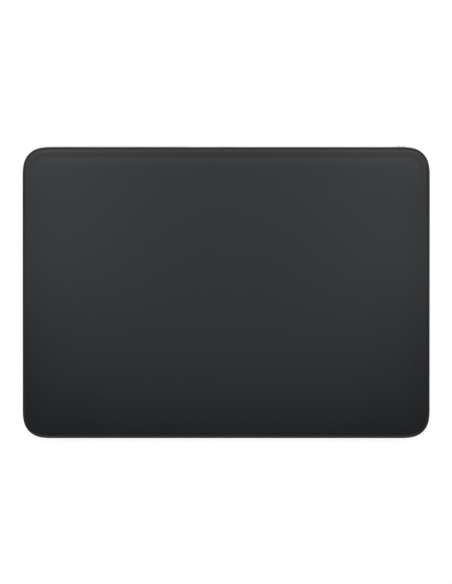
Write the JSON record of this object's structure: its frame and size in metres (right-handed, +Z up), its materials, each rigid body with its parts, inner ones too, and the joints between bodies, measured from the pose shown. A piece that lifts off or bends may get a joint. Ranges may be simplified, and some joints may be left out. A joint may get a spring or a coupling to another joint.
{
  "type": "trackpad",
  "caption": "Thin wedge-shaped wireless trackpad: matt black glass on a silver aluminium body with rubber feet, rear charging port and sliding power switch.",
  "frame": {"origin": "middle of the footprint, on the desk surface that the rubber feet rest on", "axes": "+X to the user's right, +Y to the rear (the tall edge with the port), +Z up"},
  "size_m": [0.16, 0.1149, 0.0109],
  "materials": {
    "glass_top": "matte black, finely etched",
    "adhesive": "matte",
    "circuit_board": "satin solder mask",
    "chip": "matte",
    "shield_steel": "satin",
    "socket_plastic": "satin",
    "flexible_circuit": "satin amber film",
    "body_aluminium": "fine bead-blasted, anodised silver",
    "window_plastic": "matte light grey",
    "coax_jacket": "satin",
    "screw_steel": "satin",
    "contact_gold": "polished",
    "flag_green": "satin",
    "battery_pouch": "satin black laminate",
    "coil_copper": "satin",
    "mass_metal": "satin",
    "magnet_nickel": "satin",
    "spring_steel": "satin",
    "foot_rubber": "matte"
  },
  "bodies": {
    "body": {"touch_glass": "glass_top", "glass_bond_gasket": "adhesive", "sensor_bond_film": "adhesive", "battery_tape": "adhesive", "touch_sensor_board": "circuit_board", "main_board": "circuit_board", "battery_protection_board": "circuit_board", "antenna_board": "circuit_board", "touch_board_chips": "chip", "main_board_chips": "chip", "touch_board_shield": "shield_steel", "main_board_shield": "shield_steel", "port_shell": "shield_steel", "haptic_cover": "shield_steel", "port_bracket": "shield_steel", "switch_bracket": "shield_steel", "haptic_base": "shield_steel", "touch_flex_socket": "socket_plastic", "board_sockets": "socket_plastic", "port_insulator": "socket_plastic", "switch_module_body": "socket_plastic", "touch_flex": "flexible_circuit", "force_flex_left": "flexible_circuit", "force_flex_right": "flexible_circuit", "port_flex": "flexible_circuit", "switch_flex": "flexible_circuit", "battery_flex": "flexible_circuit", "haptic_flex": "flexible_circuit", "strain_gauges": "flexible_circuit", "housing": "body_aluminium", "antenna_window": "window_plastic", "port_trim_ring": "window_plastic", "antenna_coax": "coax_jacket", "flexure_screws": "screw_steel", "board_screws": "screw_steel", "bracket_screws": "screw_steel", "port_contacts": "contact_gold", "battery_cell": "battery_pouch", "haptic_coils": "coil_copper", "haptic_spring_left": "spring_steel", "haptic_spring_right": "spring_steel", "foot_flexure_front_left": "spring_steel", "foot_flexure_front_right": "spring_steel", "foot_flexure_rear_left": "spring_steel", "foot_flexure_rear_right": "spring_steel"},
    "power_switch": {"switch_knob": "body_aluminium", "switch_carrier": "socket_plastic", "on_flag": "flag_green", "switch_module_lever": "socket_plastic"},
    "haptic_shaker": {"haptic_mass": "mass_metal", "haptic_magnets": "magnet_nickel"},
    "foot_front_left": {"foot_pad_front_left": "foot_rubber", "foot_plate_front_left": "spring_steel"},
    "foot_front_right": {"foot_pad_front_right": "foot_rubber", "foot_plate_front_right": "spring_steel"},
    "foot_rear_left": {"foot_pad_rear_left": "foot_rubber", "foot_plate_rear_left": "spring_steel"},
    "foot_rear_right": {"foot_pad_rear_right": "foot_rubber", "foot_plate_rear_right": "spring_steel"}
  },
  "joints": [
    {"name": "power_switch_slide", "type": "slide", "parent": "body", "child": "power_switch", "axis": [1, 0, 0], "range_m": [-0.0023, 0]},
    {"name": "haptic_shake", "type": "slide", "parent": "body", "child": "haptic_shaker", "axis": [1, 0, 0], "range_m": [-0.0003, 0.0003], "stiffness_N_per_m": 3500, "deforming": ["haptic_spring_left", "haptic_spring_right"]},
    {"name": "foot_press_front_left", "type": "slide", "parent": "body", "child": "foot_front_left", "axis": [0, 0, 1], "range_m": [0, 0.0002], "stiffness_N_per_m": 4000, "deforming": ["foot_flexure_front_left"]},
    {"name": "foot_press_front_right", "type": "slide", "parent": "body", "child": "foot_front_right", "axis": [0, 0, 1], "range_m": [0, 0.0002], "stiffness_N_per_m": 4000, "deforming": ["foot_flexure_front_right"]},
    {"name": "foot_press_rear_left", "type": "slide", "parent": "body", "child": "foot_rear_left", "axis": [0, 0, 1], "range_m": [0, 0.0002], "stiffness_N_per_m": 4000, "deforming": ["foot_flexure_rear_left"]},
    {"name": "foot_press_rear_right", "type": "slide", "parent": "body", "child": "foot_rear_right", "axis": [0, 0, 1], "range_m": [0, 0.0002], "stiffness_N_per_m": 4000, "deforming": ["foot_flexure_rear_right"]}
  ]
}
